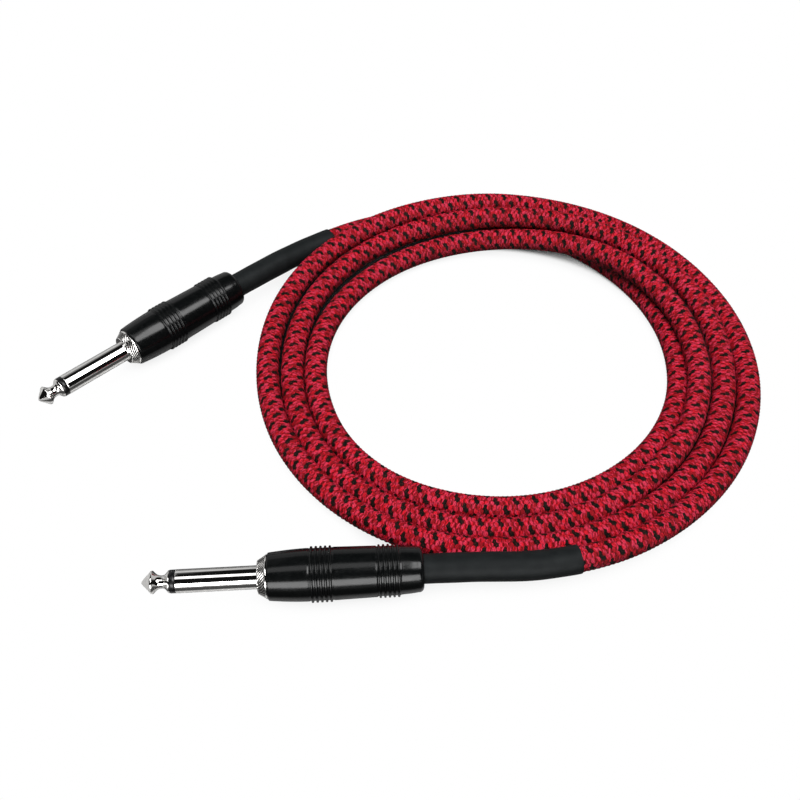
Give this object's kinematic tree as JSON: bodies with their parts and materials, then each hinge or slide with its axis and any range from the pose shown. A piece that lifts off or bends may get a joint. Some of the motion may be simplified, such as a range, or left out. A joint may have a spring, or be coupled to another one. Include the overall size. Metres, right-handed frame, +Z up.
{
  "type": "instrument cable",
  "caption": "Coiled red textile-covered instrument cable with a straight two-pole jack plug on each end, each with a knurled collar, ribbed black barrel and heat-shrink sleeve.",
  "frame": {"origin": "centre of the two plugs' footprint, on the surface that the cable lies on", "axes": "+Z up from that surface, +X along the front plug from its tip towards its cable, +Y away from the front plug towards the coil's far side"},
  "size_m": [0.2286, 0.1698, 0.0151],
  "materials": {
    "nickel_contact": "bright nickel plate on brass",
    "nickel_collar": "bright nickel plate, fine diagonal knurl",
    "black_insulator": "moulded black nylon",
    "black_barrel": "satin black lacquer on turned metal, two bands of ribs",
    "clear_liner": "clear plastic tube",
    "shrink_black": "matte charcoal heat-shrink tube",
    "textile_cable": "red braided textile with dark flecks",
    "fibre_washer": "pressed fibre",
    "core_insulation": "natural polyethylene",
    "copper": "bare copper strands",
    "solder": "dull solder"
  },
  "bodies": {
    "cable_and_plugs": {"front_tip_contact": "nickel_contact", "front_tip_insulator_ring": "black_insulator", "front_shaft_insulator": "black_insulator", "front_sleeve_contact": "nickel_contact", "front_threaded_collar": "nickel_collar", "front_ground_tongue": "nickel_contact", "front_insulating_washer": "fibre_washer", "front_tip_solder_lug": "nickel_contact", "front_centre_core_insulation": "core_insulation", "front_centre_conductor": "copper", "front_tip_solder_joint": "solder", "front_screen_pigtail": "copper", "front_ground_solder_joint": "solder", "front_cable_end": "textile_cable", "front_shrink_sleeve": "shrink_black", "front_lead": "textile_cable", "rear_tip_contact": "nickel_contact", "rear_tip_insulator_ring": "black_insulator", "rear_shaft_insulator": "black_insulator", "rear_sleeve_contact": "nickel_contact", "rear_threaded_collar": "nickel_collar", "rear_ground_tongue": "nickel_contact", "rear_insulating_washer": "fibre_washer", "rear_tip_solder_lug": "nickel_contact", "rear_centre_core_insulation": "core_insulation", "rear_centre_conductor": "copper", "rear_tip_solder_joint": "solder", "rear_screen_pigtail": "copper", "rear_ground_solder_joint": "solder", "rear_cable_end": "textile_cable", "rear_shrink_sleeve": "shrink_black", "rear_lead": "textile_cable", "coiled_cable": "textile_cable"},
    "front_liner": {"front_barrel_liner": "clear_liner"},
    "front_barrel": {"front_barrel": "black_barrel"},
    "rear_liner": {"rear_barrel_liner": "clear_liner"},
    "rear_barrel": {"rear_barrel": "black_barrel"}
  },
  "joints": [
    {"name": "front_barrel_travel", "type": "slide", "parent": "cable_and_plugs", "child": "front_liner", "axis": [1, 0, 0], "range_m": [0, 0.0032]},
    {"name": "front_barrel_turn", "type": "hinge", "parent": "front_liner", "child": "front_barrel", "pos_m": [0.0152, -0.07004, 0.00755], "axis": [1, 0, 0], "range_deg": [0, 1440]},
    {"name": "rear_barrel_travel", "type": "slide", "parent": "cable_and_plugs", "child": "rear_liner", "axis": [0.7678, 0.6406, 0], "range_m": [0, 0.0032]},
    {"name": "rear_barrel_turn", "type": "hinge", "parent": "rear_liner", "child": "rear_barrel", "pos_m": [-0.03617, 0.03284, 0.00755], "axis": [0.7678, 0.6406, 0], "range_deg": [0, 1440]}
  ],
  "couplings": [
    {"joint": "front_barrel_turn", "follows": "front_barrel_travel", "rad_per_m": 7854},
    {"joint": "rear_barrel_turn", "follows": "rear_barrel_travel", "rad_per_m": 7854}
  ]
}
